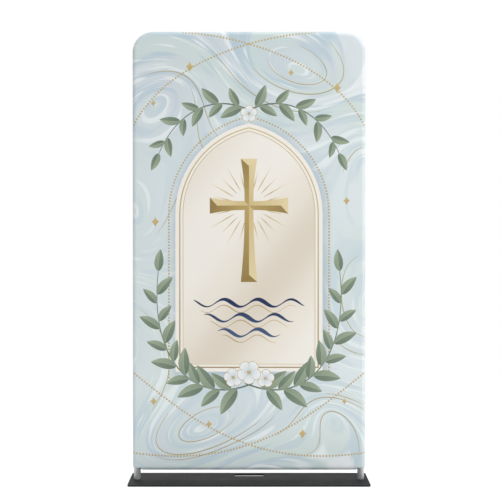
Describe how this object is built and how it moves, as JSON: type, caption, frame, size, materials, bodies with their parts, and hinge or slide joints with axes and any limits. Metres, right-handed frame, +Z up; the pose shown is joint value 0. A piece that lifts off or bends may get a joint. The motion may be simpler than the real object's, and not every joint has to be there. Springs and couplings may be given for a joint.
{
  "type": "church banner with tube frame stand",
  "caption": "Free-standing church banner: a printed stretch-cloth sleeve pulled taut over a bent tube frame that stands on a flat steel base plate with a hand-hold.",
  "frame": {"origin": "on the floor under the middle of the base plate", "axes": "+Z up; +X to the right seen from the front; the printed front faces -Y"},
  "size_m": [1.252, 0.3, 2.355],
  "materials": {
    "printed_cloth": "printed stretch knit",
    "plain_cloth": "plain stretch knit",
    "frame_tube": "satin",
    "base_plate": "satin powder coat"
  },
  "bodies": {
    "root": {"front_panel": "printed_cloth", "back_panel": "plain_cloth", "left_upright": "frame_tube", "right_upright": "frame_tube", "left_corner": "frame_tube", "right_corner": "frame_tube", "top_bar": "frame_tube", "bottom_bar": "frame_tube", "base_plate": "base_plate"}
  },
  "joints": []
}
